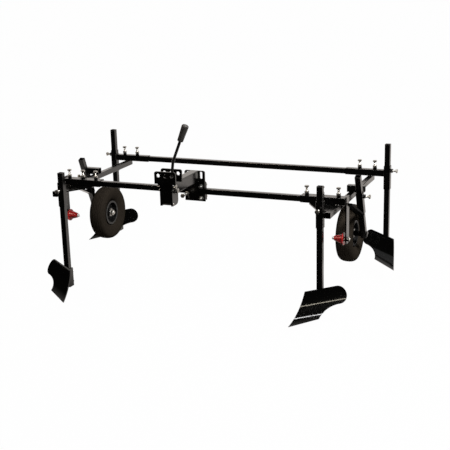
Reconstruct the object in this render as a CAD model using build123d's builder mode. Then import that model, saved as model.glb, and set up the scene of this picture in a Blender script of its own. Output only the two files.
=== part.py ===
import math
import os

from build123d import *

os.makedirs("parts", exist_ok=True)

# Frame: +X to the machine's right as the photograph shows it, +Y rearward, +Z up, millimetres.
# The origin is the middle hole of the front hole plate, on the plate's front face.

# Square tube stock for bars, posts and wheel arms
TUBE = 25.0
TUBE_WALL = 2.0
TUBE_CORNER = 2.5

# Sleeves that slide on the tube
SLEEVE_FIT = 0.5
SLEEVE_WALL = 2.0
SLEEVE_CORNER = 3.0
SLEEVE_BORE = TUBE + 2 * SLEEVE_FIT
SLEEVE = SLEEVE_BORE + 2 * SLEEVE_WALL

# Set bolts M10 and their weld nuts
BOLT_R = 5.0
BOLT_PLAY = 0.2
HEAD_AF = 17.0
HEAD_H = 7.0
NUT_H = 10.0
LOCK_NUT_H = 8.0
BOLT_STAND = 35.0
POST_BOLT_STAND = 25.0
TIP_GAP = 0.3

# Layout of the two cross bars against the hitch
BAR_SETBACK = 311.0
BAR_DROP = 133.0
BAR_SPACING = 565.0
FRONT_Y = BAR_SETBACK
REAR_Y = BAR_SETBACK + BAR_SPACING
BAR_Z = -BAR_DROP

# Right-hand carriage, measured from the machine's middle plane
SIDE_X = 640.0
SIDE_FRONT = 144.0
SIDE_REAR = 20.0
FRONT_SLEEVE_IN = 482.0
FRONT_SLEEVE_OUT = 676.0
FRONT_BOLTS = (507.0, 574.0, 645.0)
BACK_BAR_T = 13.0
REAR_SLEEVE_IN = 520.0
REAR_SLEEVE_OUT = 703.0
REAR_BOLTS = (586.0, 658.0)
BAR_END_ROOM = 9.0
BAR_HALF = FRONT_SLEEVE_OUT - BAR_END_ROOM
SIDE_Z = BAR_Z - SLEEVE / 2 - TUBE / 2
SEAT_Z = BAR_Z - SLEEVE / 2

# Post sleeves
POST_SLEEVE_LEN = 110.0
FRONT_POST_X = 606.5
FRONT_POST_AHEAD = 135.0
FRONT_POST_Y = FRONT_Y - FRONT_POST_AHEAD
FRONT_POST_SLEEVE_UP = 27.5
FRONT_POST_BOLT_UP = -6.0
REAR_POST_X = REAR_SLEEVE_OUT + SLEEVE / 2
REAR_POST_SLEEVE_UP = 35.0
REAR_POST_BOLT_UP = 12.0
GUSSET_T = 5.0
GUSSET_REACH = 106.0

# Posts and ploughs
POST_ABOVE = 427.0
POST_BELOW = 112.0
POST_TOPS = {"front_left": 72.0, "front_right": 91.0, "rear_left": 142.0, "rear_right": 137.0}
PLOUGH_TURN = 29.3
PLOUGH_RISE = 7.2
PLOUGH_R = 139.0
PLOUGH_T = 4.5
PLOUGH_FORWARD = 23.0
PLOUGH_CENTRE_UP = 34.0
PLOUGH_MID = 43.5
ARC_FROM = 95.0
ARC_TO = 175.0
SEAT_WALL = 4.0
SEAT_BOX = SLEEVE_BORE + 2 * SEAT_WALL
SEAT_TOP = 24.0
SEAT_BOTTOM = 110.0
CHEEK_FORWARD = 66.0
CHEEK_DOWN = 62.0
PLOUGH_BOLTS = (50.0, 98.0)
PLOUGH_NUT_H = 9.0
PLOUGH_BOLT_END = 14.0

# Wheel arm and its holder
ARM_X = 681.0
ARM_BACK = 209.4
ARM_TILT = 21.6
ARM_TOP = 103.0
ARM_BOTTOM = 222.0
ARM_SLEEVE_TOP = 18.0
ARM_SLEEVE_BOTTOM = 92.0
AXLE_AT = 206.0
STUB_OVERHANG = 20.0
STUB_IN = SIDE_X - STUB_OVERHANG
WELD_LAP = 2.5
STAY_T = 8.0
STAY_TOP_DROP = 20.0
STAY_END_AT = 84.0

# Wheel
WHEEL_X = 619.0
TYRE_R = 130.0
TYRE_HALF = 37.5
TYRE_WALL = 7.0
SHOULDER_SHARE = 0.78
SHOULDER_R_SHARE = 0.94
RIM_FLANGE_R = 58.5
RIM_SEAT_R = 52.0
RIM_WALL = 3.0
RIM_HALF = 24.0
HUB_R = 22.0
HUB_HALF = 18.0
BEARING_R = 17.5
BEARING_W = 11.0
AXLE_R = 8.0
AXLE_PLAY = 0.05
SEAT_PLAY = 0.3
AXLE_NUT_AF = 24.0
AXLE_NUT_H = 10.0
AXLE_END = 5.0
WASHER_R = 16.0
WASHER_T = 3.0

# Film cone and its arm
CONE_ARM_W = 40.0
CONE_ARM_T = 6.0
CONE_ARM_BACK = 12.0
CONE_ARM_Y = FRONT_Y + CONE_ARM_BACK
CONE_ARM_UP = 19.0
CONE_DROP = 166.0
CONE_ARM_BELOW = 19.0
CONE_ARM_ROUND = 17.0
CONE_FLANGE_R = 27.0
CONE_FLANGE_T = 5.0
CONE_BASE_R = 20.0
CONE_TIP_R = 8.5
CONE_LEN = 43.0
CONE_RIBS = 6
CONE_RIB_W = 3.0
CONE_RIB_H = 1.8
CONE_GAP = 9.0
SPINDLE_R = 5.0
SPINDLE_PLAY = 0.1
SPINDLE_TIP = 9.0
TIP_NUT_R = 7.5

# Hitch: clamp plates, beam, channel, hole plates
CLAMP_W = 96.0
CLAMP_T = 6.0
CLAMP_UP = 94.0
CLAMP_DOWN = 42.0
CLAMP_REAR_UP = 40.0
CLAMP_REAR_W = 80.0
CLAMP_BOLT_X = 31.0
CLAMP_BOLTS_Z = (24.0, -28.0)
CLAMP_NUT_H = 8.0
CLAMP_THREAD = 6.0
THREAD_SUNK = 2.0
STOP_BOLT = (-33.0, -8.0)
STOP_BOLT_STAND = 56.0
SLOT_W = 12.0
SLOT_L = 32.0
SLOT_UP = 74.0
PLATE_CORNER = 9.0
BEAM_W = 40.0
BEAM_H = 50.0
BEAM_WALL = 3.0
BEAM_CORNER = 4.0
BEAM_UP = 70.0
CHANNEL_WALL = 8.0
CHANNEL_FIT = 0.5
CHANNEL_DEPTH = 55.0
CHANNEL_DOWN = 5.0
CHANNEL_UP = 106.0
CHANNEL_ROUND = 20.0
WEB_SHORT = 13.5
CROSS_PIN_R = 5.5
CROSS_PIN_UP = 7.0
CROSS_PIN_BACK = 10.0
HOLE_PLATE_T = 6.0
HOLE_PLATE_W = 96.0
HOLE_PLATE_DOWN = 35.0
HOLE_PLATE_UP = 17.0
HOLE_R = 8.0
HOLE_PITCH = 31.0
HITCH_BOLTS = ((21.0, 85.5), (37.0, 65.0))
HITCH_BOLT_R = 6.0
HITCH_HEAD_AF = 19.0
HITCH_HEAD_H = 10.0
HITCH_NUT_H = 10.0
HITCH_WASHER_R = 12.0
HITCH_WASHER_T = 2.5

# Lever between the hole plates, in the XZ plane
LEVER_X = 14.0
LEVER_DOWN = 17.0
PIN_R = 5.0
PIN_PLAY = 0.05
PIN_HEAD_R = 8.0
PIN_HEAD_T = 4.0
LEVER_HUB_R = 9.0
LEVER_HUB_PLAY = 0.5
LEVER_ROD_R = 6.0
LEVER_BEND = (10.2, 72.0)
LEVER_GRIP_FROM = (46.0, 159.0)
LEVER_BEND_R = 60.0
GRIP_LEN = 72.0
GRIP_LOW_R = 12.2
GRIP_HIGH_R = 15.0
GRIP_FLUTES = 8
GRIP_FLUTE_R = 2.2
GRIP_DEPTH = 54.0
GRIP_PLAY = 0.15


def across(x, y, z):
    """Plane facing +X with Y to the right and Z up."""
    return Plane(origin=(x, y, z), x_dir=(0, 1, 0), z_dir=(1, 0, 0))


def forward(x, y, z):
    """Plane facing -Y with X to the right and Z up."""
    return Plane(origin=(x, y, z), x_dir=(1, 0, 0), z_dir=(0, -1, 0))


def upward(x, y, z):
    """Plane facing +Z."""
    return Plane(origin=(x, y, z))


def save(piece, name):
    piece.label = name
    export_step(piece, f"parts/{name}.step")


def save_pair(piece, name):
    """Saves the right-hand piece and its mirror image on the left."""
    left = mirror(piece, about=Plane.YZ)
    save(piece, f"right_{name}")
    save(left, f"left_{name}")


def box_tube(plane, width, height, wall, corner, length):
    with BuildPart() as tube:
        with BuildSketch(plane):
            RectangleRounded(width, height, corner)
            Rectangle(width - 2 * wall, height - 2 * wall, mode=Mode.SUBTRACT)
        extrude(amount=length)
    return tube.part


def square_tube(plane, length):
    """Length of the square stock that bars, posts and wheel arms are cut from."""
    return box_tube(plane, TUBE, TUBE, TUBE_WALL, TUBE_CORNER, length)


def clamp_sleeve(plane, length, nut_planes):
    """Square sleeve with weld nuts and bolt holes where the nut planes say."""
    with BuildPart() as sleeve:
        with BuildSketch(plane):
            RectangleRounded(SLEEVE, SLEEVE, SLEEVE_CORNER)
        extrude(amount=length)
        for nut_plane in nut_planes:
            with BuildSketch(nut_plane):
                RegularPolygon(HEAD_AF / 2, 6, major_radius=False)
            extrude(amount=NUT_H)
            with BuildSketch(nut_plane):
                Circle(BOLT_R + BOLT_PLAY)
            extrude(amount=NUT_H, both=True, mode=Mode.SUBTRACT)
        with BuildSketch(plane):
            Rectangle(SLEEVE_BORE, SLEEVE_BORE)
        extrude(amount=length, mode=Mode.SUBTRACT)
    return sleeve.part


def set_bolts(planes, stand, locked):
    """Hex bolts, locked by nuts or not, that screw through weld nuts until the tip bears on the tube."""
    depth = SLEEVE_WALL + SLEEVE_FIT - TIP_GAP
    with BuildPart() as bolts:
        for plane in planes:
            with BuildSketch(plane.offset(-depth)):
                Circle(BOLT_R)
            extrude(amount=depth + stand)
            with BuildSketch(plane.offset(stand)):
                RegularPolygon(HEAD_AF / 2, 6, major_radius=False)
            extrude(amount=HEAD_H)
            if locked:
                with BuildSketch(plane.offset(NUT_H)):
                    RegularPolygon(HEAD_AF / 2, 6, major_radius=False)
                extrude(amount=LOCK_NUT_H)
    return bolts.part


def rounded_plate(plane, width, low, high, thickness, corner):
    """Plate with rounded upper corners, from low to high on the plane's Y."""
    with BuildPart() as plate:
        with BuildSketch(plane):
            with Locations((0, (low + high) / 2)):
                Rectangle(width, high - low)
        extrude(amount=thickness)
        along = plate.edges().filter_by(Axis.Y).group_by(Axis.Z)[-1]
        fillet(along, corner)
    return plate.part


# Cross bars
save(square_tube(across(-BAR_HALF, FRONT_Y, BAR_Z), 2 * BAR_HALF), "front_bar")
save(square_tube(across(-BAR_HALF, REAR_Y, BAR_Z), 2 * BAR_HALF), "rear_bar")

# Hitch clamp plates on the front bar
clamp_front = FRONT_Y - TUBE / 2
clamp_rear = FRONT_Y + TUBE / 2
clamp_points = [(x, z) for x in (-CLAMP_BOLT_X, CLAMP_BOLT_X) for z in CLAMP_BOLTS_Z]
clamp_face = forward(0, clamp_front, BAR_Z)

with BuildPart() as hitch_front_plate:
    add(rounded_plate(clamp_face, CLAMP_W, -CLAMP_DOWN, CLAMP_UP, CLAMP_T, PLATE_CORNER))
    stop_nut = forward(STOP_BOLT[0], clamp_front - CLAMP_T, BAR_Z + STOP_BOLT[1])
    with BuildSketch(stop_nut):
        RegularPolygon(HEAD_AF / 2, 6, major_radius=False)
    extrude(amount=NUT_H)
    with BuildSketch(clamp_face):
        with Locations(*clamp_points):
            Circle(BOLT_R + BOLT_PLAY)
        with Locations((-CLAMP_BOLT_X, SLOT_UP), (CLAMP_BOLT_X, SLOT_UP)):
            SlotOverall(SLOT_L, SLOT_W, rotation=90)
    extrude(amount=CLAMP_T, mode=Mode.SUBTRACT)
    with BuildSketch(clamp_face):
        with Locations(STOP_BOLT):
            Circle(BOLT_R + BOLT_PLAY)
    extrude(amount=CLAMP_T + NUT_H, mode=Mode.SUBTRACT)
save(hitch_front_plate.part, "hitch_front_plate")

rear_face = forward(0, clamp_rear + CLAMP_T, BAR_Z)
with BuildPart() as hitch_rear_plate:
    add(rounded_plate(rear_face, CLAMP_REAR_W, -CLAMP_DOWN, CLAMP_REAR_UP, CLAMP_T, PLATE_CORNER))
    with BuildSketch(rear_face):
        with Locations(*clamp_points):
            Circle(BOLT_R + BOLT_PLAY)
    extrude(amount=CLAMP_T, mode=Mode.SUBTRACT)
save(hitch_rear_plate.part, "hitch_rear_plate")

# Clamp bolts with their heads behind: the right pair has nuts in front, the left pair screws into
# the front plate, and a long stop bolt bears on the bar
grip_length = TUBE + 2 * CLAMP_T
with BuildPart() as hitch_clamp_bolts:
    for x, z in clamp_points:
        seat = forward(x, clamp_rear + CLAMP_T, BAR_Z + z)
        reach = grip_length + CLAMP_NUT_H + CLAMP_THREAD if x > 0 else grip_length - THREAD_SUNK
        with BuildSketch(seat):
            Circle(BOLT_R)
        extrude(amount=reach)
        with BuildSketch(seat):
            RegularPolygon(HEAD_AF / 2, 6, major_radius=False)
        extrude(amount=-HEAD_H)
        if x > 0:
            with BuildSketch(seat.offset(grip_length)):
                RegularPolygon(HEAD_AF / 2, 6, major_radius=False)
            extrude(amount=CLAMP_NUT_H)
    with BuildSketch(stop_nut.offset(TIP_GAP - CLAMP_T)):
        Circle(BOLT_R)
    extrude(amount=CLAMP_T - TIP_GAP + STOP_BOLT_STAND)
    with BuildSketch(stop_nut.offset(NUT_H)):
        RegularPolygon(HEAD_AF / 2, 6, major_radius=False)
    extrude(amount=LOCK_NUT_H)
    with BuildSketch(stop_nut.offset(STOP_BOLT_STAND)):
        RegularPolygon(HEAD_AF / 2, 6, major_radius=False)
    extrude(amount=HEAD_H)
save(hitch_clamp_bolts.part, "hitch_clamp_bolts")

# Beam and channel
channel_front = HOLE_PLATE_T
channel_rear = channel_front + CHANNEL_DEPTH
beam_front = channel_front + CHANNEL_WALL
beam_z = BAR_Z + BEAM_UP
channel_inner = BEAM_W / 2 + CHANNEL_FIT
channel_half = channel_inner + CHANNEL_WALL
hitch_bolt_planes = [across(channel_half, y, BAR_Z + z) for y, z in HITCH_BOLTS]
cross_pin_plane = across(channel_half, channel_front + CROSS_PIN_BACK, BAR_Z + CHANNEL_DOWN + CROSS_PIN_UP)

with BuildPart() as hitch_beam:
    add(box_tube(forward(0, clamp_front - CLAMP_T, beam_z), BEAM_W, BEAM_H, BEAM_WALL, BEAM_CORNER,
                 clamp_front - CLAMP_T - beam_front))
    for plane in hitch_bolt_planes:
        with BuildSketch(plane):
            Circle(HITCH_BOLT_R + BOLT_PLAY)
        extrude(amount=-2 * channel_half, mode=Mode.SUBTRACT)
save(hitch_beam.part, "hitch_beam")

with BuildPart() as hitch_channel:
    with BuildSketch(upward(0, 0, BAR_Z + CHANNEL_DOWN)):
        with Locations((0, (channel_front + channel_rear) / 2)):
            Rectangle(2 * channel_half, CHANNEL_DEPTH)
        with Locations((0, (beam_front + channel_rear) / 2)):
            Rectangle(2 * channel_inner, channel_rear - beam_front, mode=Mode.SUBTRACT)
    extrude(amount=CHANNEL_UP - CHANNEL_DOWN)
    low = hitch_channel.edges().filter_by(Axis.X).group_by(Axis.Z)[0]
    fillet(low.group_by(Axis.Y)[-1], CHANNEL_ROUND)
    with BuildSketch(upward(0, (channel_front + beam_front) / 2, BAR_Z + CHANNEL_DOWN)):
        Rectangle(2 * channel_inner, CHANNEL_WALL)
    extrude(amount=WEB_SHORT, mode=Mode.SUBTRACT)
    for plane in hitch_bolt_planes:
        with BuildSketch(plane):
            Circle(HITCH_BOLT_R + BOLT_PLAY)
        extrude(amount=-2 * channel_half, mode=Mode.SUBTRACT)
    with BuildSketch(cross_pin_plane):
        Circle(CROSS_PIN_R)
    extrude(amount=-2 * channel_half, mode=Mode.SUBTRACT)
save(hitch_channel.part, "hitch_channel")

# Two cross bolts with washers through channel and beam, and a plain pin across the channel's foot
with BuildPart() as hitch_bolts:
    for plane in hitch_bolt_planes:
        far = plane.offset(-2 * channel_half)
        with BuildSketch(far.offset(-HITCH_WASHER_T - HITCH_NUT_H)):
            Circle(HITCH_BOLT_R)
        extrude(amount=HITCH_WASHER_T + HITCH_NUT_H + 2 * channel_half)
        with BuildSketch(plane):
            Circle(HITCH_WASHER_R)
        extrude(amount=HITCH_WASHER_T)
        with BuildSketch(plane.offset(HITCH_WASHER_T)):
            RegularPolygon(HITCH_HEAD_AF / 2, 6, major_radius=False)
        extrude(amount=HITCH_HEAD_H)
        with BuildSketch(far):
            Circle(HITCH_WASHER_R)
        extrude(amount=-HITCH_WASHER_T)
        with BuildSketch(far.offset(-HITCH_WASHER_T)):
            RegularPolygon(HITCH_HEAD_AF / 2, 6, major_radius=False)
        extrude(amount=-HITCH_NUT_H)
    with BuildSketch(cross_pin_plane):
        Circle(CROSS_PIN_R)
    extrude(amount=-2 * channel_half)
save(hitch_bolts.part, "hitch_bolts")


def hole_plate(front):
    """Plate with three holes in a row and one for the lever's pin."""
    face = forward(0, front + HOLE_PLATE_T, 0)
    with BuildPart() as plate:
        add(rounded_plate(face, HOLE_PLATE_W, -HOLE_PLATE_DOWN, HOLE_PLATE_UP, HOLE_PLATE_T, PLATE_CORNER))
        with BuildSketch(face):
            with GridLocations(HOLE_PITCH, HOLE_PITCH, 3, 1):
                Circle(HOLE_R)
            with Locations((LEVER_X, -LEVER_DOWN)):
                Circle(PIN_R + BOLT_PLAY)
        extrude(amount=HOLE_PLATE_T, mode=Mode.SUBTRACT)
    return plate.part


save(hole_plate(0), "front_hole_plate")
save(hole_plate(channel_rear), "rear_hole_plate")

# Lever pin with a head in front and a collar behind
pin_plane = forward(LEVER_X, channel_rear + HOLE_PLATE_T, -LEVER_DOWN)
with BuildPart() as lever_pin:
    with BuildSketch(pin_plane):
        Circle(PIN_R)
    extrude(amount=channel_rear + HOLE_PLATE_T)
    with BuildSketch(pin_plane):
        Circle(PIN_HEAD_R)
    extrude(amount=-PIN_HEAD_T)
    with BuildSketch(pin_plane.offset(channel_rear + HOLE_PLATE_T)):
        Circle(PIN_HEAD_R)
    extrude(amount=PIN_HEAD_T)
save(lever_pin.part, "lever_pin")

# Lever rod on its hub, then the grip
lever_y = (channel_front + channel_rear) / 2
hub_plane = forward(LEVER_X, channel_rear - LEVER_HUB_PLAY, -LEVER_DOWN)
hub_length = CHANNEL_DEPTH - 2 * LEVER_HUB_PLAY
lever_plane = forward(LEVER_X, lever_y, -LEVER_DOWN)
grip_run = math.dist(LEVER_BEND, LEVER_GRIP_FROM)
grip_dir = ((LEVER_GRIP_FROM[0] - LEVER_BEND[0]) / grip_run, (LEVER_GRIP_FROM[1] - LEVER_BEND[1]) / grip_run)
rod_end = (LEVER_GRIP_FROM[0] + GRIP_DEPTH * grip_dir[0], LEVER_GRIP_FROM[1] + GRIP_DEPTH * grip_dir[1])
lever_lean = math.atan2(LEVER_BEND[0], LEVER_BEND[1])
with BuildPart() as lever_rod:
    with BuildLine(lever_plane):
        FilletPolyline((0, 0), LEVER_BEND, rod_end, radius=LEVER_BEND_R)
    with BuildSketch(Plane(origin=lever_plane.origin, z_dir=(math.sin(lever_lean), 0, math.cos(lever_lean)))):
        Circle(LEVER_ROD_R)
    sweep()
    with BuildSketch(hub_plane):
        Circle(LEVER_HUB_R)
    extrude(amount=hub_length)
    with BuildSketch(hub_plane):
        Circle(PIN_R + PIN_PLAY)
    extrude(amount=hub_length, mode=Mode.SUBTRACT)
save(lever_rod.part, "lever_rod")

grip_axis = (grip_dir[0], 0, grip_dir[1])
grip_foot = (LEVER_X + LEVER_GRIP_FROM[0], lever_y, LEVER_GRIP_FROM[1] - LEVER_DOWN)
grip_plane = Plane(origin=grip_foot, x_dir=(0, 1, 0), z_dir=grip_axis)
with BuildPart() as lever_grip:
    with BuildSketch(grip_plane):
        Circle(GRIP_LOW_R)
    with BuildSketch(grip_plane.offset(GRIP_LEN)):
        Circle(GRIP_HIGH_R)
    loft()
    ends = lever_grip.edges().filter_by(GeomType.CIRCLE).sort_by(SortBy.RADIUS)
    fillet(ends[-1], GRIP_HIGH_R / 2)
    for k in range(GRIP_FLUTES):
        with BuildSketch(grip_plane):
            with PolarLocations(GRIP_LOW_R + GRIP_FLUTE_R / 2, 1, start_angle=360 * k / GRIP_FLUTES):
                Circle(GRIP_FLUTE_R)
        with BuildSketch(grip_plane.offset(GRIP_LEN)):
            with PolarLocations(GRIP_HIGH_R + GRIP_FLUTE_R / 2, 1, start_angle=360 * k / GRIP_FLUTES):
                Circle(GRIP_FLUTE_R)
        loft(mode=Mode.SUBTRACT)
    with BuildSketch(grip_plane):
        Circle(LEVER_ROD_R + GRIP_PLAY)
    extrude(amount=GRIP_DEPTH + GRIP_PLAY, mode=Mode.SUBTRACT)
save(lever_grip.part, "lever_grip")

# Right-hand carriage: side bar under the cross sleeves
side_length = SIDE_FRONT + BAR_SPACING + SIDE_REAR
save_pair(square_tube(forward(SIDE_X, REAR_Y + SIDE_REAR, SIDE_Z), side_length), "side_bar")

sleeve_top = BAR_Z + SLEEVE / 2
front_nuts = [upward(x, FRONT_Y, sleeve_top) for x in FRONT_BOLTS]
rear_nuts = [upward(x, REAR_Y, sleeve_top) for x in REAR_BOLTS]
front_sleeve_len = FRONT_SLEEVE_OUT - FRONT_SLEEVE_IN
rear_sleeve_len = REAR_SLEEVE_OUT - REAR_SLEEVE_IN
back_bar_mid = FRONT_Y + (SLEEVE_BORE + SLEEVE) / 4 + BACK_BAR_T / 2
with BuildPart() as front_sleeve:
    add(clamp_sleeve(across(FRONT_SLEEVE_IN, FRONT_Y, BAR_Z), front_sleeve_len, front_nuts))
    with BuildSketch(across(FRONT_SLEEVE_IN, back_bar_mid, BAR_Z)):
        Rectangle(SLEEVE_WALL + BACK_BAR_T, SLEEVE)
    extrude(amount=front_sleeve_len)
save_pair(front_sleeve.part, "front_sleeve")
save_pair(clamp_sleeve(across(REAR_SLEEVE_IN, REAR_Y, BAR_Z), rear_sleeve_len, rear_nuts), "rear_sleeve")

# Front post sleeve with the pad that joins it to the side bar
front_post_nut = forward(FRONT_POST_X, FRONT_POST_Y - SLEEVE / 2, BAR_Z + FRONT_POST_BOLT_UP)
front_post_foot = BAR_Z + FRONT_POST_SLEEVE_UP - POST_SLEEVE_LEN
pad_in = FRONT_POST_X + SLEEVE / 2
pad_out = SIDE_X - TUBE / 2
with BuildPart() as front_post_sleeve:
    add(clamp_sleeve(upward(FRONT_POST_X, FRONT_POST_Y, front_post_foot), POST_SLEEVE_LEN, [front_post_nut]))
    with BuildSketch(across(pad_in - SLEEVE_WALL / 2, FRONT_POST_Y, SIDE_Z)):
        Rectangle(SLEEVE - 2 * SLEEVE_CORNER, TUBE - 2 * TUBE_CORNER)
    extrude(amount=pad_out - pad_in + SLEEVE_WALL / 2)
save_pair(front_post_sleeve.part, "front_post_sleeve")

# Corner gusset between the front sleeve, the side bar and the post sleeve
gusset_edge = FRONT_POST_Y + SLEEVE / 2
gusset_in = pad_out - GUSSET_REACH
with BuildPart() as corner_gusset:
    with BuildSketch(upward(0, 0, SEAT_Z)):
        with BuildLine():
            Polyline((pad_out, gusset_edge), (pad_out, FRONT_Y + SLEEVE / 2),
                     (gusset_in, FRONT_Y + SLEEVE / 2),
                     (gusset_in, FRONT_Y - SLEEVE / 2), (FRONT_POST_X - SLEEVE / 2, gusset_edge), close=True)
        make_face()
    extrude(amount=-GUSSET_T)
save_pair(corner_gusset.part, "corner_gusset")

rear_post_nut = across(REAR_POST_X + SLEEVE / 2, REAR_Y, BAR_Z + REAR_POST_BOLT_UP)
rear_post_foot = BAR_Z + REAR_POST_SLEEVE_UP - POST_SLEEVE_LEN
save_pair(clamp_sleeve(upward(REAR_POST_X, REAR_Y, rear_post_foot), POST_SLEEVE_LEN, [rear_post_nut]),
          "rear_post_sleeve")

# Wheel arm holder: inclined sleeve with a stub tube standing on the side bar
tilt = math.radians(ARM_TILT)
arm_dir = (0, math.sin(tilt), -math.cos(tilt))
arm_zero = (ARM_X, FRONT_Y + ARM_BACK, SIDE_Z)


def arm_point(t, ahead=0.0):
    """Point in the YZ plane at t down the arm's axis and so far ahead of it."""
    return (arm_zero[1] + t * math.sin(tilt) - ahead * math.cos(tilt),
            arm_zero[2] - t * math.cos(tilt) - ahead * math.sin(tilt))


def arm_plane(t):
    """Plane across the arm's axis, facing down it."""
    y, z = arm_point(t)
    return Plane(origin=(ARM_X, y, z), x_dir=(1, 0, 0), z_dir=arm_dir)


arm_nut = Plane(origin=(ARM_X + SLEEVE / 2, arm_zero[1], arm_zero[2]), x_dir=arm_dir, z_dir=(1, 0, 0))
seat_t = (SIDE_Z - SEAT_Z) / math.cos(tilt)
stub_front = arm_point(seat_t)[0] + SLEEVE / 2 / math.cos(tilt) - WELD_LAP
stub_out = ARM_X + SLEEVE / 2
with BuildPart() as wheel_holder:
    add(clamp_sleeve(arm_plane(-ARM_SLEEVE_TOP), ARM_SLEEVE_TOP + ARM_SLEEVE_BOTTOM, [arm_nut]))
    with BuildSketch(across(STUB_IN, stub_front + SLEEVE / 2, BAR_Z)):
        RectangleRounded(SLEEVE, SLEEVE, SLEEVE_CORNER)
        Rectangle(SLEEVE_BORE, SLEEVE_BORE, mode=Mode.SUBTRACT)
    extrude(amount=stub_out - STUB_IN)
    with BuildSketch(arm_plane(-ARM_TOP)):
        Rectangle(SLEEVE_BORE, SLEEVE_BORE)
    extrude(amount=ARM_TOP + ARM_SLEEVE_BOTTOM, mode=Mode.SUBTRACT)
save_pair(wheel_holder.part, "wheel_holder")

# Cone arm on the front sleeve's outer end
cone_z = BAR_Z - CONE_DROP
cone_arm_plane = across(FRONT_SLEEVE_OUT, CONE_ARM_Y, cone_z)
with BuildPart() as cone_arm:
    with BuildSketch(cone_arm_plane):
        with Locations((0, (CONE_DROP + CONE_ARM_UP) / 2)):
            Rectangle(CONE_ARM_W, CONE_DROP + CONE_ARM_UP)
        with Locations((0, -CONE_ARM_BELOW / 2)):
            Rectangle(CONE_ARM_W, CONE_ARM_BELOW)
    extrude(amount=CONE_ARM_T)
    fillet(cone_arm.edges().filter_by(Axis.X).group_by(Axis.Z)[0], CONE_ARM_ROUND)
    with BuildSketch(cone_arm_plane):
        Circle(SPINDLE_R + SPINDLE_PLAY)
    extrude(amount=CONE_ARM_T, mode=Mode.SUBTRACT)
save_pair(cone_arm.part, "cone_arm")

# Stay from the cone arm's rear edge to the lower end of the arm sleeve
stay_start = (CONE_ARM_Y + CONE_ARM_W / 2, BAR_Z - STAY_TOP_DROP)
stay_end = arm_point(STAY_END_AT, SLEEVE / 2)
stay_fall = math.atan2(stay_start[1] - stay_end[1], stay_end[0] - stay_start[0])
start_half = STAY_T / 2 / math.cos(stay_fall)
end_half = STAY_T / 2 / math.cos(stay_fall + tilt)
stay_low = arm_point(STAY_END_AT + end_half, SLEEVE / 2)
stay_high = arm_point(STAY_END_AT - end_half, SLEEVE / 2)
with BuildPart() as wheel_stay:
    with BuildSketch(across(ARM_X - TUBE / 2, 0, 0)):
        with BuildLine():
            Polyline((stay_start[0], stay_start[1] + start_half), (stay_start[0], stay_start[1] - start_half),
                     stay_low, stay_high, close=True)
        make_face()
    extrude(amount=TUBE)
save_pair(wheel_stay.part, "wheel_stay")

with BuildPart() as clamp_bolts:
    add(set_bolts(front_nuts + rear_nuts, BOLT_STAND, True))
    add(set_bolts([front_post_nut, rear_post_nut, arm_nut], POST_BOLT_STAND, False))
save_pair(clamp_bolts.part, "clamp_bolts")

# Film cone on its spindle; the cone's flange faces the arm
cone_base = FRONT_SLEEVE_OUT - CONE_GAP
cone_tip = cone_base - CONE_LEN
cone_flange = cone_base - CONE_FLANGE_T
with BuildPart() as cone_spindle:
    with BuildSketch(across(cone_tip - SPINDLE_TIP, CONE_ARM_Y, cone_z)):
        Circle(SPINDLE_R)
    extrude(amount=FRONT_SLEEVE_OUT + CONE_ARM_T + NUT_H + SPINDLE_TIP - cone_tip)
    with BuildSketch(across(FRONT_SLEEVE_OUT + CONE_ARM_T, CONE_ARM_Y, cone_z)):
        RegularPolygon(HEAD_AF / 2, 6, major_radius=False)
    extrude(amount=CLAMP_NUT_H)
    with BuildSketch(across(FRONT_SLEEVE_OUT, CONE_ARM_Y, cone_z)):
        RegularPolygon(HEAD_AF / 2, 6, major_radius=False)
    extrude(amount=-(CONE_GAP - SEAT_PLAY))
    with BuildSketch(across(cone_tip - SEAT_PLAY, CONE_ARM_Y, cone_z)):
        Circle(TIP_NUT_R)
    extrude(amount=-SPINDLE_TIP / 2)
save_pair(cone_spindle.part, "cone_spindle")

with BuildPart() as film_cone:
    with BuildSketch(across(cone_flange, CONE_ARM_Y, cone_z)):
        Circle(CONE_FLANGE_R)
    extrude(amount=CONE_FLANGE_T)
    with BuildSketch(across(cone_tip, CONE_ARM_Y, cone_z)):
        Circle(CONE_TIP_R)
    with BuildSketch(across(cone_flange, CONE_ARM_Y, cone_z)):
        Circle(CONE_BASE_R)
    loft()
    for k in range(CONE_RIBS):
        rib_turn = 360 * k / CONE_RIBS
        with BuildSketch(across(cone_tip, CONE_ARM_Y, cone_z)):
            with PolarLocations((CONE_TIP_R + CONE_RIB_H) / 2, 1, start_angle=rib_turn):
                Rectangle(CONE_TIP_R + CONE_RIB_H, CONE_RIB_W)
        with BuildSketch(across(cone_flange, CONE_ARM_Y, cone_z)):
            with PolarLocations((CONE_BASE_R + CONE_RIB_H) / 2, 1, start_angle=rib_turn):
                Rectangle(CONE_BASE_R + CONE_RIB_H, CONE_RIB_W)
        loft()
    with BuildSketch(across(cone_tip, CONE_ARM_Y, cone_z)):
        Circle(SPINDLE_R + SPINDLE_PLAY)
    extrude(amount=CONE_LEN, mode=Mode.SUBTRACT)
save_pair(film_cone.part, "film_cone")

# Wheel arm and axle
axle_y, axle_z = arm_point(AXLE_AT)
axle_plane = across(ARM_X + TUBE / 2, axle_y, axle_z)
with BuildPart() as wheel_arm:
    add(square_tube(arm_plane(-ARM_TOP), ARM_TOP + ARM_BOTTOM))
    with BuildSketch(axle_plane):
        Circle(AXLE_R + BOLT_PLAY)
    extrude(amount=-TUBE, mode=Mode.SUBTRACT)
save_pair(wheel_arm.part, "wheel_arm")

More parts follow.
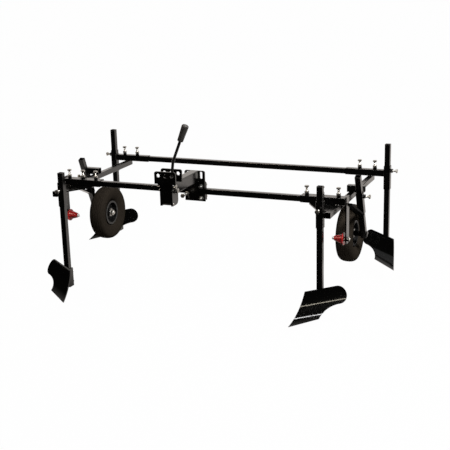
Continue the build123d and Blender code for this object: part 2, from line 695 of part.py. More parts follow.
hub_out = WHEEL_X + HUB_HALF
hub_in = WHEEL_X - HUB_HALF
arm_inner = ARM_X - TUBE / 2
axle_end = hub_in - SEAT_PLAY - WASHER_T - AXLE_NUT_H - AXLE_END
with BuildPart() as wheel_axle:
    with BuildSketch(axle_plane):
        Circle(AXLE_R)
    extrude(amount=axle_end - ARM_X - TUBE / 2)
    with BuildSketch(axle_plane):
        RegularPolygon(AXLE_NUT_AF / 2, 6, major_radius=False)
    extrude(amount=AXLE_NUT_H / 2)
    with BuildSketch(across(arm_inner, axle_y, axle_z)):
        Circle(AXLE_NUT_AF / 2)
    extrude(amount=hub_out + SEAT_PLAY - arm_inner)
    with BuildSketch(across(hub_in - SEAT_PLAY, axle_y, axle_z)):
        Circle(WASHER_R)
    extrude(amount=-WASHER_T)
    with BuildSketch(across(hub_in - SEAT_PLAY - WASHER_T, axle_y, axle_z)):
        RegularPolygon(AXLE_NUT_AF / 2, 6, major_radius=False)
    extrude(amount=-AXLE_NUT_H)
save_pair(wheel_axle.part, "wheel_axle")

# Wheel sections: X along the axle, Y outward from it
wheel_plane = Plane(origin=(WHEEL_X, axle_y, axle_z), x_dir=(1, 0, 0), z_dir=(0, -1, 0))
wheel_axis = Axis((WHEEL_X, axle_y, axle_z), (1, 0, 0))
bead_r = RIM_SEAT_R + SEAT_PLAY
bead_out = RIM_HALF - RIM_WALL - SEAT_PLAY
bead_in = bead_out - TYRE_WALL
belly_r = (TYRE_R + bead_r) / 2
shoulder = TYRE_HALF * SHOULDER_SHARE
shoulder_r = TYRE_R * SHOULDER_R_SHARE
inner_r = TYRE_R - TYRE_WALL
inner_half = TYRE_HALF - TYRE_WALL
lining_right = (shoulder - TYRE_WALL, shoulder_r - TYRE_WALL)
lining_left = (TYRE_WALL - shoulder, shoulder_r - TYRE_WALL)
with BuildPart() as tyre:
    with BuildSketch(wheel_plane):
        with BuildLine():
            Line((bead_in, bead_r), (bead_out, bead_r))
            Line((bead_out, bead_r), (bead_out, RIM_FLANGE_R))
            ThreePointArc((bead_out, RIM_FLANGE_R), (TYRE_HALF, belly_r), (shoulder, shoulder_r))
            ThreePointArc((shoulder, shoulder_r), (0, TYRE_R), (-shoulder, shoulder_r))
            ThreePointArc((-shoulder, shoulder_r), (-TYRE_HALF, belly_r), (-bead_out, RIM_FLANGE_R))
            Line((-bead_out, RIM_FLANGE_R), (-bead_out, bead_r))
            Line((-bead_out, bead_r), (-bead_in, bead_r))
            Line((-bead_in, bead_r), (-bead_in, RIM_FLANGE_R))
            ThreePointArc((-bead_in, RIM_FLANGE_R), (-inner_half, belly_r), lining_left)
            ThreePointArc(lining_left, (0, inner_r), lining_right)
            ThreePointArc(lining_right, (inner_half, belly_r), (bead_in, RIM_FLANGE_R))
            Line((bead_in, RIM_FLANGE_R), (bead_in, bead_r))
        make_face()
    revolve(axis=wheel_axis)
save_pair(tyre.part, "tyre")

with BuildPart() as rim:
    with BuildSketch(wheel_plane):
        with Locations((0, RIM_SEAT_R - RIM_WALL / 2)):
            Rectangle(2 * RIM_HALF, RIM_WALL)
        with Locations((RIM_HALF - RIM_WALL / 2, (RIM_SEAT_R - RIM_WALL + RIM_FLANGE_R) / 2),
                       (RIM_WALL / 2 - RIM_HALF, (RIM_SEAT_R - RIM_WALL + RIM_FLANGE_R) / 2)):
            Rectangle(RIM_WALL, RIM_FLANGE_R - RIM_SEAT_R + RIM_WALL)
        with Locations((0, (HUB_R + RIM_SEAT_R) / 2 - RIM_WALL / 2)):
            Rectangle(RIM_WALL, RIM_SEAT_R - HUB_R)
        with Locations((0, (HUB_R + BEARING_R) / 2)):
            Rectangle(2 * HUB_HALF, HUB_R - BEARING_R)
    revolve(axis=wheel_axis)
save_pair(rim.part, "rim")

with BuildPart() as wheel_bearings:
    with BuildSketch(wheel_plane):
        with Locations((HUB_HALF - BEARING_W / 2, (BEARING_R + AXLE_R) / 2),
                       (BEARING_W / 2 - HUB_HALF, (BEARING_R + AXLE_R) / 2)):
            Rectangle(BEARING_W, BEARING_R - AXLE_R - 2 * AXLE_PLAY)
    revolve(axis=wheel_axis)
save_pair(wheel_bearings.part, "wheel_bearings")

# Plough set of the right hand, about the post's axis with the sheet's top edge near Z 0
turn = math.radians(PLOUGH_TURN)
rise = math.radians(PLOUGH_RISE)
mid = math.radians(PLOUGH_MID)
along = Vector(math.cos(turn) * math.cos(rise), math.sin(turn) * math.cos(rise), math.sin(rise))
ahead = Vector(math.sin(turn), -math.cos(turn), 0)
down = along.cross(ahead)
section = Plane(origin=(0, 0, 0), x_dir=ahead, z_dir=along)
seat_plane = Plane(origin=(0, 0, 0), x_dir=(0, -1, 0), z_dir=(1, 0, 0))
arc_centre = (PLOUGH_FORWARD + PLOUGH_R, -PLOUGH_CENTRE_UP)
mid_point = (ahead * (arc_centre[0] - PLOUGH_R * math.cos(mid))
             + down * (arc_centre[1] + PLOUGH_R * math.sin(mid)))
sheet_face = Plane(origin=mid_point, x_dir=along, z_dir=ahead * math.cos(mid) - down * math.sin(mid))

# Sheet outline on its mid tangent plane: along the sheet, then up it
TOP_LEFT = (-71.0, 69.0)
LOBE = (63.0, 33.0)
LOBE_R = 36.0
NECK = (1.0, -18.0)
HEEL = (-40.0, -56.0)
POINT = (-171.0, -68.0)
SHIN = (-114.0, -2.0)
lobe_top = (LOBE[0], LOBE[1] + LOBE_R)
lobe_end = (LOBE[0] + LOBE_R, LOBE[1])
lobe_foot = (LOBE[0], LOBE[1] - LOBE_R)
sheet_reach = -2 * TOP_LEFT[0] - POINT[0]

with BuildPart() as plough_seat:
    with BuildSketch(seat_plane.offset(-SEAT_BOX / 2)):
        with BuildLine():
            Polyline((-SEAT_BOX / 2, SEAT_TOP), (CHEEK_FORWARD, SEAT_TOP), (CHEEK_FORWARD, CHEEK_DOWN),
                     (SEAT_BOX / 2, SEAT_BOTTOM), (-SEAT_BOX / 2, SEAT_BOTTOM), close=True)
        make_face()
    extrude(amount=SEAT_BOX)
    with BuildSketch(section):
        with Locations(arc_centre):
            Circle(PLOUGH_R + PLOUGH_T / 2)
    extrude(amount=sheet_reach, both=True, mode=Mode.SUBTRACT)
    with BuildSketch(Plane(origin=(0, 0, 0), x_dir=(1, 0, 0), z_dir=(0, 0, -1))):
        Rectangle(SLEEVE_BORE, SLEEVE_BORE)
        with Locations((0, (SEAT_BOX / 2 + CHEEK_FORWARD) / 2)):
            Rectangle(SLEEVE_BORE, CHEEK_FORWARD - SEAT_BOX / 2)
    extrude(amount=SEAT_BOTTOM, mode=Mode.SUBTRACT)
    for drop in PLOUGH_BOLTS:
        with BuildSketch(forward(0, 0, -drop)):
            Circle(BOLT_R + BOLT_PLAY)
        extrude(amount=SEAT_BOX, both=True, mode=Mode.SUBTRACT)

with BuildPart() as plough:
    with BuildSketch(section):
        with BuildLine():
            CenterArc(arc_centre, PLOUGH_R, ARC_FROM, ARC_TO - ARC_FROM)
            CenterArc(arc_centre, PLOUGH_R + PLOUGH_T, ARC_FROM, ARC_TO - ARC_FROM)
            Line(PolarLine(arc_centre, PLOUGH_R, ARC_FROM, mode=Mode.PRIVATE) @ 1,
                 PolarLine(arc_centre, PLOUGH_R + PLOUGH_T, ARC_FROM, mode=Mode.PRIVATE) @ 1)
            Line(PolarLine(arc_centre, PLOUGH_R, ARC_TO, mode=Mode.PRIVATE) @ 1,
                 PolarLine(arc_centre, PLOUGH_R + PLOUGH_T, ARC_TO, mode=Mode.PRIVATE) @ 1)
        make_face()
    extrude(amount=sheet_reach, both=True)
    with BuildSketch(sheet_face):
        with BuildLine():
            Line(TOP_LEFT, lobe_top)
            ThreePointArc(lobe_top, lobe_end, lobe_foot)
            ThreePointArc(lobe_foot, NECK, HEEL)
            Line(HEEL, POINT)
            ThreePointArc(POINT, SHIN, TOP_LEFT)
        make_face()
    extrude(amount=PLOUGH_R, both=True, mode=Mode.INTERSECT)
    add(plough_seat.part)

with BuildPart() as post:
    add(square_tube(upward(0, 0, -POST_BELOW), POST_BELOW + POST_ABOVE))
    for drop in PLOUGH_BOLTS:
        with BuildSketch(forward(0, 0, -drop)):
            Circle(BOLT_R + BOLT_PLAY)
        extrude(amount=TUBE, both=True, mode=Mode.SUBTRACT)

with BuildPart() as plough_bolts:
    for drop in PLOUGH_BOLTS:
        back = forward(0, SEAT_BOX / 2, -drop)
        with BuildSketch(back.offset(-PLOUGH_NUT_H - PLOUGH_BOLT_END)):
            Circle(BOLT_R)
        extrude(amount=PLOUGH_NUT_H + PLOUGH_BOLT_END + SEAT_BOX)
        with BuildSketch(back):
            RegularPolygon(HEAD_AF / 2, 6, major_radius=False)
        extrude(amount=-PLOUGH_NUT_H)
        with BuildSketch(back.offset(SEAT_BOX)):
            RegularPolygon(HEAD_AF / 2, 6, major_radius=False)
        extrude(amount=HEAD_H)

# The front right and rear left ploughs are of one hand, the other two of the other
stations = {
    "front_left": (-FRONT_POST_X, FRONT_POST_Y, True),
    "front_right": (FRONT_POST_X, FRONT_POST_Y, False),
    "rear_left": (-REAR_POST_X, REAR_Y, False),
    "rear_right": (REAR_POST_X, REAR_Y, True),
}
for corner, (x, y, mirrored) in stations.items():
    place = Location((x, y, BAR_Z + POST_TOPS[corner] - POST_ABOVE))
    for piece, name in ((post.part, "post"), (plough.part, "plough"), (plough_bolts.part, "plough_bolts")):
        handed = mirror(piece, about=Plane.YZ) if mirrored else piece
        save(place * handed, f"{corner}_{name}")
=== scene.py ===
import math

import bpy
from mathutils import Matrix, Vector


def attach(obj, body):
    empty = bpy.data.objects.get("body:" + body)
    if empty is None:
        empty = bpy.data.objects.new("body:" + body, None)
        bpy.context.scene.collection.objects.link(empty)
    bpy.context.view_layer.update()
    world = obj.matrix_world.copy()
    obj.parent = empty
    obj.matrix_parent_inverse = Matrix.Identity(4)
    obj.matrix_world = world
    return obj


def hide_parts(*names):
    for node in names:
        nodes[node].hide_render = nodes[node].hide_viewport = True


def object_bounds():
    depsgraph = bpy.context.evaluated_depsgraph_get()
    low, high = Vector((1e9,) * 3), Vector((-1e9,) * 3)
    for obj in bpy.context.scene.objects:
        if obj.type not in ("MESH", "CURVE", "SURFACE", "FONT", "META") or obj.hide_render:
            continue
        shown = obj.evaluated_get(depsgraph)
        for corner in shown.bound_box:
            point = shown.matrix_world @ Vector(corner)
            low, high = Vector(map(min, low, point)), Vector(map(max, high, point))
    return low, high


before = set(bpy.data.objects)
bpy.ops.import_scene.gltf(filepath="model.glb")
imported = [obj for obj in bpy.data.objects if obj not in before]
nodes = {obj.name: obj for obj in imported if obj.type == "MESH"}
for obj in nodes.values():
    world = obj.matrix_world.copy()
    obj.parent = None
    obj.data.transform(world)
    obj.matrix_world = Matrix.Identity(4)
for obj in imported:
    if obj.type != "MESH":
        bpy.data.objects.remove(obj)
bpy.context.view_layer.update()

MM = 0.001
SIDES = ("right", "left")

# Tubes, bars and sleeves, in millimetres as in the part's source
TUBE = 25.0
SLEEVE = 30.0
FRONT_Y = 311.0
BAR_SPACING = 565.0
REAR_Y = FRONT_Y + BAR_SPACING
BAR_Z = -133.0
SIDE_X = 640.0
SEAT_Z = BAR_Z - SLEEVE / 2
SIDE_Z = SEAT_Z - TUBE / 2
FRONT_SLEEVE_OUT = 676.0
REAR_SLEEVE_OUT = 703.0
BACK_BAR_T = 13.0
BACK_BAR_Y = FRONT_Y + SLEEVE / 2 + BACK_BAR_T

# Room left between pieces that turn or screw against each other
PLAY = 0.3

# Set bolts with the nuts welded under them and their lock nuts
BOLT_R = 5.0
BOLT_DEPTH = 2.2
HEAD_AF = 17.0
HEAD_H = 7.0
WELDED_NUT_H = 10.0
LOCK_NUT_H = 8.0
BOLT_STAND = 35.0
POST_BOLT_STAND = 25.0
FRONT_BOLTS = (507.0, 574.0, 645.0)
REAR_BOLTS = (586.0, 658.0)
FRONT_POST_BOLT_UP = -6.0
REAR_POST_BOLT_UP = 12.0

# Posts: place across and along the machine, and top above the bars; POST_ABOVE is from top to plough
FRONT_POST_X = 606.5
FRONT_POST_AHEAD = 135.0
FRONT_POST_Y = FRONT_Y - FRONT_POST_AHEAD
REAR_POST_X = REAR_SLEEVE_OUT + SLEEVE / 2
POST_ABOVE = 427.0
POSTS = {
    "front_left": (-FRONT_POST_X, FRONT_POST_Y, 72.0),
    "front_right": (FRONT_POST_X, FRONT_POST_Y, 91.0),
    "rear_left": (-REAR_POST_X, REAR_Y, 142.0),
    "rear_right": (REAR_POST_X, REAR_Y, 137.0),
}

# Plough seats and their bolts
PLOUGH_TURN = math.radians(29.3)
PLOUGH_BOLTS = (50.0, 98.0)
PLOUGH_NUT_H = 9.0
PLOUGH_BOLT_END = 14.0
SEAT_BOX = 34.0

# Inclined wheel arms and their axles
ARM_X = 681.0
ARM_BACK = 209.4
ARM_Y = FRONT_Y + ARM_BACK
ARM_TILT = math.radians(21.6)
ARM_IN = ARM_X - TUBE / 2
ARM_OUT = ARM_X + TUBE / 2
AXLE_AT = 206.0
AXLE_R = 8.0
AXLE_NUT_AF = 24.0
AXLE_NUT_H = 10.0
AXLE_END = 5.0
AXLE_PITCH = 2.0
AXLE_GROOVE = 0.8
SHANK_PAST_HUB = 4.0
WASHER_R = 16.0
WASHER_T = 3.0
SPACER_R = 12.0
TURNED_EDGE = 0.6

# Wheels and tyres
WHEEL_X = 619.0
WHEEL_Y = ARM_Y + AXLE_AT * math.sin(ARM_TILT)
WHEEL_Z = SIDE_Z - AXLE_AT * math.cos(ARM_TILT)
HUB_HALF = 18.0
HUB_IN = WHEEL_X - HUB_HALF
HUB_OUT = WHEEL_X + HUB_HALF
TYRE_HALF = 37.6
TYRE_MID_R = 104.0
TYRE_RISE = 26.0
TYRE_FALL = 48.0
TYRE_ROUNDNESS = 2.6
TYRE_SMOOTH = 50.0
BEAD_R = 58.5
BEAD_FOOT_R = 52.3
TREAD_HALF = 31.0
RIB_PITCH = 9.0
RIB_DEPTH = 1.1
SIPE_DEPTH = 0.6
SIPE_EVERY = 4
SIPE_STAGGER = 2

# Rim bolts with the reach of their heads and nuts, and the valve's parts as (radius, height) pairs
RIM_BOLT_COUNT = 4
RIM_BOLT_CIRCLE = 36.0
RIM_BOLT_FROM = math.radians(45)
RIM_BOLT_R = 3.0
RIM_BOLT_AF = 10.0
RIM_BOLT_END = 9.0
RIM_BOLT_PITCH = 1.0
RIM_BOLT_GROOVE = 0.35
RIM_HEAD = (1.2, 6.0)
RIM_NUT = (-5.5, -1.2)
VALVE_CIRCLE = 44.0
VALVE_TURN = math.radians(12)
VALVE_FOOT = ((4.5, 1.0), (4.2, 6.0))
VALVE_STEM = ((3.2, 9.0), (3.2, 20.0))
VALVE_CAP = ((4.0, 20.5), (4.0, 27.0), (3.2, 28.0))

# Film cones, their spindles and the caps on the spindles' ends
CONE_ARM_T = 6.0
CONE_ARM_BACK = 12.0
CONE_Y = FRONT_Y + CONE_ARM_BACK
CONE_DROP = 166.0
CONE_Z = BAR_Z - CONE_DROP
CONE_GAP = 9.0
CONE_LEN = 43.0
CONE_BASE = FRONT_SLEEVE_OUT - CONE_GAP
CONE_TIP = CONE_BASE - CONE_LEN
SPINDLE_NUT_H = 8.0
SPINDLE_END = 2.0
CAP_LEN = 9.0
CAP_EDGE = 1.0
CAP_BASE_R = 7.5
CAP_SHOULDER_R = 6.6
CAP_END_R = 5.4

# Clamp plates on the front bar, with the bolts through them and the stop bolt
CLAMP_T = 6.0
CLAMP_FRONT = FRONT_Y - TUBE / 2 - CLAMP_T
CLAMP_REAR = FRONT_Y + TUBE / 2 + CLAMP_T
CLAMP_BOLT_X = 31.0
CLAMP_BOLTS_UP = (24.0, -28.0)
CLAMP_NUT_H = 8.0
CLAMP_THREAD = 6.0
THREAD_SUNK = 2.0
STOP_BOLT_X = -33.0
STOP_BOLT_UP = -8.0
STOP_BOLT_STAND = 56.0

# Beam, channel-shaped hitch head, its cross bolts as (back, up) and its cross pin
BEAM_W = 40.0
BEAM_H = 50.0
BEAM_UP = 70.0
CHANNEL_HALF = 28.5
HITCH_BOLTS = ((21.0, 85.5), (37.0, 65.0))
HITCH_BOLT_R = 6.0
HITCH_HEAD_AF = 19.0
HITCH_HEAD_H = 10.0
HITCH_NUT_H = 10.0
HITCH_WASHER_R = 12.0
HITCH_WASHER_T = 2.5
CROSS_PIN_BACK = 16.0
CROSS_PIN_UP = 12.0
CROSS_PIN_R = 5.5

# Weld beads, which stop short of the corners
WELD_R = 2.2
BEAM_WELD_R = 2.6
WELD_SHORT = 2.0
WELD_STEP = 1.1
WELD_END_SHARE = 0.55
WELD_SWELL = 0.2
WELD_RIPPLES = ((0.13, 1.45), (0.05, 0.37))
WELD_FACETS = 8
WELD_SMOOTH = 60.0

# The camera as solved from the photograph, its place measured from the front bar's middle
PHOTO_PIXELS = 450
FOCAL_PIXELS = 963.238
SENSOR_W = 36.0
CAMERA_YAW = 0.398448
CAMERA_PITCH = 0.273585
CAMERA_ROLL = 0.026896
CAMERA_AT = (1711.593, -3756.337, 996.507)

# Stage, in metres and shares of white
CAMERA_REACH = 200.0
FLOOR_HALF = 30.0
FLOOR_GREY = 0.3
FLOOR_LEAN = -0.25
FLOOR_DARK_TO_WHITE = (0.2, 0.6)
FLOOR_GLOW = 0.99
SKY_DARK_TO_WHITE = (0.1, 0.8)
SKY_SOFT = 0.07
STUDIO_DARK = 0.012
STUDIO_WARM = (1.0, 0.93, 0.87, 1)


# Mesh making

class Shape:
    """Collects vertices in millimetres and faces, then makes one piece in metres."""

    def __init__(self):
        self.verts = []
        self.faces = []

    def rings(self, rings, closed_ends=True):
        """Joins rings of equally many points into a skin, with one flat face at each end."""
        start = len(self.verts)
        count = len(rings[0])
        for ring in rings:
            self.verts.extend(ring)
        for r in range(len(rings) - 1):
            a = start + r * count
            b = a + count
            for k in range(count):
                n = (k + 1) % count
                self.faces.append((a + k, a + n, b + n, b + k))
        if closed_ends:
            self.faces.append(tuple(start + k for k in reversed(range(count))))
            last = start + (len(rings) - 1) * count
            self.faces.append(tuple(last + k for k in range(count)))

    def piece(self, name, body, finish, smooth=35.0, mirrored=False):
        """Makes the piece, with edges sharper than the smooth angle kept hard."""
        verts = [Vector(v) * MM for v in self.verts]
        faces = self.faces
        if mirrored:
            verts = [Vector((-v.x, v.y, v.z)) for v in verts]
            faces = [tuple(reversed(f)) for f in faces]
        mesh = bpy.data.meshes.new(name)
        mesh.from_pydata(verts, [], faces)
        mesh.validate()
        mesh.materials.append(finish)
        mesh.shade_smooth()
        mesh.set_sharp_from_angle(angle=math.radians(smooth))
        obj = bpy.data.objects.new(name, mesh)
        bpy.context.scene.collection.objects.link(obj)
        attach(obj, body)
        return obj


def axis_frame(origin, direction):
    """Matrix whose Z runs along the direction, for things turned about an axis."""
    z = Vector(direction).normalized()
    helper = Vector((0, 0, 1)) if abs(z.z) < 0.9 else Vector((1, 0, 0))
    x = helper.cross(z).normalized()
    y = z.cross(x)
    turn = Matrix((x, y, z)).transposed().to_4x4()
    turn.translation = Vector(origin)
    return turn


def polar(matrix, radius, angle, height):
    """Point at a radius, angle and height about the matrix's Z."""
    return matrix @ Vector((radius * math.cos(angle), radius * math.sin(angle), height))


def circle(matrix, radius, height, count):
    """Ring of points about the matrix's Z."""
    return [polar(matrix, radius, 2 * math.pi * k / count, height) for k in range(count)]


def add_hex(shape, matrix, flats, low, high, count=48):
    """Hexagon with a turned chamfer at both ends."""
    rim_share = 0.955
    slope = math.tan(math.radians(30))
    half = flats / 2
    rim = half * rim_share
    angles = [2 * math.pi * k / count for k in range(count)]
    radii = [half / math.cos(a % (math.pi / 3) - math.pi / 6) for a in angles]

    def ring(height, lean):
        return [polar(matrix, r, a, height + lean * (r - rim) * slope) for r, a in zip(radii, angles)]

    shape.rings([circle(matrix, rim, low, count), ring(low, 1),
                 ring(high, -1), circle(matrix, rim, high, count)])


def add_thread(shape, matrix, radius, low, high, pitch=1.5, depth=0.55, count=20):
    """Screwed rod: a helical groove between two chamfered ends."""
    crest = radius - 0.05
    chamfer = radius - 0.6
    end = radius - 1.0
    steps_per_turn = 4
    steps = max(8, int((high - low) / pitch * steps_per_turn))
    rings = [circle(matrix, end, low, count)]
    for s in range(1, steps):
        height = low + (high - low) * s / steps
        if s in (1, steps - 1):
            rings.append(circle(matrix, chamfer, height, count))
            continue
        ring = []
        for k in range(count):
            phase = (height / pitch - k / count) % 1.0
            r = crest - depth * (1 - abs(2 * phase - 1))
            ring.append(polar(matrix, r, 2 * math.pi * k / count, height))
        rings.append(ring)
    rings.append(circle(matrix, end, high, count))
    shape.rings(rings)


def add_turned(shape, matrix, profile, count=32):
    """Turned piece from (radius, height) pairs."""
    shape.rings([circle(matrix, radius, height, count) for radius, height in profile])


def add_disc(shape, matrix, radius, low, high, edge):
    """Washer or pin with a chamfer at both ends."""
    add_turned(shape, matrix, [(radius - edge, low), (radius, low + edge),
                               (radius, high - edge), (radius - edge, high)])


def add_washer(shape, matrix, radius, low, high):
    add_disc(shape, matrix, radius, low, high, edge=0.4)


def add_weld(shape, start, end, radius=WELD_R):
    """Weld bead with ripples along a straight line, thinner at its ends."""
    start, end = Vector(start), Vector(end)
    steps = max(2, int((end - start).length / WELD_STEP))
    path = [start.lerp(end, s / steps) for s in range(steps)] + [end]
    rings = []
    for i, p in enumerate(path):
        along = path[min(i + 1, len(path) - 1)] - path[max(i - 1, 0)]
        from_end = min(i, len(path) - 1 - i)
        thin = min(1.0, WELD_END_SHARE + WELD_SWELL * from_end)
        ripple = sum((height * math.sin(i * turn) for height, turn in WELD_RIPPLES), 1)
        rings.append(circle(axis_frame(p, along), radius * (thin * ripple), 0, WELD_FACETS))
    shape.rings(rings)


# Shared surface effects

def new_group(name, inputs, outputs):
    """Empty node group with its named sockets."""
    group = bpy.data.node_groups.new(name, "ShaderNodeTree")
    for label, kind, value in inputs:
        socket = group.interface.new_socket(name=label, in_out="INPUT", socket_type=kind)
        socket.default_value = value
    for label, kind in outputs:
        group.interface.new_socket(name=label, in_out="OUTPUT", socket_type=kind)
    return group, group.nodes.new("NodeGroupInput"), group.nodes.new("NodeGroupOutput")


def feed(tree, socket, value):
    """Sets a number on a socket, or links another socket to it."""
    if isinstance(value, (int, float)):
        socket.default_value = value
    else:
        tree.links.new(value, socket)


def noise(tree, vector, scale, detail, rough):
    """Cloudy pattern, whose scale is a number or a socket."""
    node = tree.nodes.new("ShaderNodeTexNoise")
    node.inputs["Detail"].default_value = detail
    node.inputs["Roughness"].default_value = rough
    feed(tree, node.inputs["Scale"], scale)
    tree.links.new(vector, node.inputs["Vector"])
    return node.outputs["Fac"]


def math_node(tree, operation, *values):
    """Sum, product or other step on numbers and sockets."""
    node = tree.nodes.new("ShaderNodeMath")
    node.operation = operation
    for socket, value in zip(node.inputs, values):
        feed(tree, socket, value)
    return node.outputs[0]


def colour_mix(tree, factor):
    """Mix node for colours, led by the factor, whose sides A and B are still to be set."""
    node = tree.nodes.new("ShaderNodeMix")
    node.data_type = "RGBA"
    tree.links.new(factor, node.inputs["Factor"])
    return node


def make_grain():
    """Fine surface grain: a height and a mottled mask."""
    group, inp, out = new_group(
        "surface_grain",
        [("Vector", "NodeSocketVector", (0, 0, 0)), ("Fine", "NodeSocketFloat", 900.0),
         ("Broad", "NodeSocketFloat", 40.0)],
        [("Height", "NodeSocketFloat"), ("Mottle", "NodeSocketFloat")])
    broad_share = 0.6
    fine = noise(group, inp.outputs["Vector"], inp.outputs["Fine"], detail=3, rough=0.5)
    broad = noise(group, inp.outputs["Vector"], inp.outputs["Broad"], detail=5, rough=0.6)
    total = math_node(group, "MULTIPLY_ADD", broad, broad_share, fine)
    group.links.new(total, out.inputs["Height"])
    group.links.new(broad, out.inputs["Mottle"])
    return group


def make_scuff():
    """Long thin scuffs in some patches: a mask that is above 0 on a scratch."""
    group, inp, out = new_group(
        "handling_scuffs",
        [("Vector", "NodeSocketVector", (0, 0, 0)), ("Amount", "NodeSocketFloat", 0.5)],
        [("Mask", "NodeSocketFloat")])
    scratch_width = 0.006
    patch_edge = 0.58
    patches = noise(group, inp.outputs["Vector"], scale=12, detail=2, rough=0.5)
    stretch = group.nodes.new("ShaderNodeMapping")
    stretch.inputs["Scale"].default_value = (260, 30, 18)
    stretch.inputs["Rotation"].default_value = (0.4, 0.7, 0.3)
    group.links.new(inp.outputs["Vector"], stretch.inputs["Vector"])
    lines = noise(group, stretch.outputs["Vector"], scale=1.0, detail=2, rough=0.4)
    ridge = math_node(group, "ABSOLUTE", math_node(group, "SUBTRACT", lines, 0.5))
    thin = math_node(group, "LESS_THAN", ridge, scratch_width)
    patch = math_node(group, "GREATER_THAN", patches, patch_edge)
    both = math_node(group, "MULTIPLY", thin, patch)
    group.links.new(math_node(group, "MULTIPLY", both, inp.outputs["Amount"]), out.inputs["Mask"])
    return group


grain_group = make_grain()
scuff_group = make_scuff()


def material(name, base, rough, metal=0.0, specular=0.5, mottle=0.3, rough_swing=0.1, bump=0.2,
             fine=900.0, broad=40.0, scuff=0.0):
    """Principled surface whose colour, roughness and height follow the shared grain and scuffs."""
    bump_distance = 0.0002
    scuff_colour = (0.25, 0.24, 0.23, 1)
    mat = bpy.data.materials.new(name)
    mat.use_nodes = True
    tree = mat.node_tree
    shader = tree.nodes["Principled BSDF"]
    shader.inputs["Metallic"].default_value = metal
    shader.inputs["Specular IOR Level"].default_value = specular
    place = tree.nodes.new("ShaderNodeTexCoord")
    grain = tree.nodes.new("ShaderNodeGroup")
    grain.node_tree = grain_group
    grain.inputs["Fine"].default_value = fine
    grain.inputs["Broad"].default_value = broad
    tree.links.new(place.outputs["Object"], grain.inputs["Vector"])
    shade = colour_mix(tree, grain.outputs["Mottle"])
    shade.inputs["A"].default_value = (*[c * (1 - mottle) for c in base], 1)
    shade.inputs["B"].default_value = (*[min(1, c * (1 + mottle)) for c in base], 1)
    colour = shade.outputs["Result"]
    roughness = tree.nodes.new("ShaderNodeMapRange")
    roughness.inputs["To Min"].default_value = max(0.02, rough - rough_swing)
    roughness.inputs["To Max"].default_value = min(1, rough + rough_swing)
    tree.links.new(grain.outputs["Mottle"], roughness.inputs["Value"])
    if scuff:
        marks = tree.nodes.new("ShaderNodeGroup")
        marks.node_tree = scuff_group
        marks.inputs["Amount"].default_value = scuff
        tree.links.new(place.outputs["Object"], marks.inputs["Vector"])
        worn = colour_mix(tree, marks.outputs["Mask"])
        worn.inputs["B"].default_value = scuff_colour
        tree.links.new(colour, worn.inputs["A"])
        colour = worn.outputs["Result"]
    tree.links.new(colour, shader.inputs["Base Color"])
    tree.links.new(roughness.outputs["Result"], shader.inputs["Roughness"])
    height = tree.nodes.new("ShaderNodeBump")
    height.inputs["Strength"].default_value = bump
    height.inputs["Distance"].default_value = bump_distance
    tree.links.new(grain.outputs["Height"], height.inputs["Height"])
    tree.links.new(height.outputs["Normal"], shader.inputs["Normal"])
    return mat


# Finishes

black_paint = material("black_gloss_paint", (0.0007, 0.0007, 0.0006), rough=0.2, mottle=0.2,
                       rough_swing=0.06, bump=0.03, fine=700, broad=60, scuff=0.05)
plough_paint = material("plough_gloss_paint", (0.0008, 0.0008, 0.0007), rough=0.09, mottle=0.2,
                        rough_swing=0.012, bump=0.0012, fine=300, broad=25, scuff=0.05)
rod_finish = material("lever_dark_steel", (0.02, 0.019, 0.018), rough=0.24, metal=0.6,
                      rough_swing=0.08, bump=0.1, broad=90, scuff=0.2)
# Painted shade: near-black matt paint without shine, given to the right wheel stay only so that it looks
# shaded
stay_painted_shade = material("stay_matt_painted_shade", (0.003, 0.003, 0.003), rough=0.7, specular=0.03,
                      fine=700, broad=60, scuff=0.05)
rim_paint = material("rim_satin_paint", (0.005, 0.005, 0.005), rough=0.38, specular=0.24, mottle=0.25,
                     bump=0.15)
zinc = material("zinc_plate", (0.42, 0.41, 0.385), rough=0.36, metal=1.0, mottle=0.15,
                rough_swing=0.12, bump=0.12, fine=1500, broad=180)
pale_nylon = material("cap_pale_nylon", (0.5, 0.5, 0.48), rough=0.5, specular=0.4, mottle=0.1, bump=0.05)
tyre_rubber = material("tyre_rubber", (0.0180, 0.0146, 0.0112), rough=0.8, specular=0.0, mottle=0.25,
                       bump=0.35, fine=1100, broad=55)
cone_plastic = material("red_cone_plastic", (0.28, 0.010, 0.010), rough=0.27, mottle=0.12,
                        bump=0.05, fine=500, broad=90)
grip_plastic = material("grip_plastic", (0.032, 0.030, 0.027), rough=0.5, specular=0.25, mottle=0.2,
                        bump=0.35, fine=1600, broad=120)

# Endings of solids' names with their finishes; every other solid is black
FINISHES = {
    "tyre": tyre_rubber,
    "film_cone": cone_plastic,
    "lever_grip": grip_plastic,
    "lever_rod": rod_finish,
    "plough": plough_paint,
    "rim": rim_paint,
    # The right wheel stay alone gets the painted shade finish; the left one stays gloss black
    "right_wheel_stay": stay_painted_shade,
    "bolts": zinc,
    "spindle": zinc,
    "axle": zinc,
    "bearings": zinc,
}


def finish_for(name):
    """Finish of a solid, found by how its name ends."""
    for ending, finish in FINISHES.items():
        if name.endswith(ending):
            return finish
    return black_paint


def paint_solids():
    """Gives every solid its finish."""
    for name, node in nodes.items():
        node.data.materials.clear()
        node.data.materials.append(finish_for(name))


# Bolts, spindles and axles

def add_set_bolt(shape, origin, direction, stand):
    """Set bolt standing on a sleeve: origin on the sleeve's face, direction outward."""
    place = axis_frame(origin, direction)
    add_thread(shape, place, BOLT_R, -BOLT_DEPTH, stand)
    add_hex(shape, place, HEAD_AF, stand, stand + HEAD_H)
    return place


def add_lock_nut(shape, place):
    """Lock nut on a bolt, right above the welded nut."""
    add_hex(shape, place, HEAD_AF, WELDED_NUT_H, WELDED_NUT_H + LOCK_NUT_H)


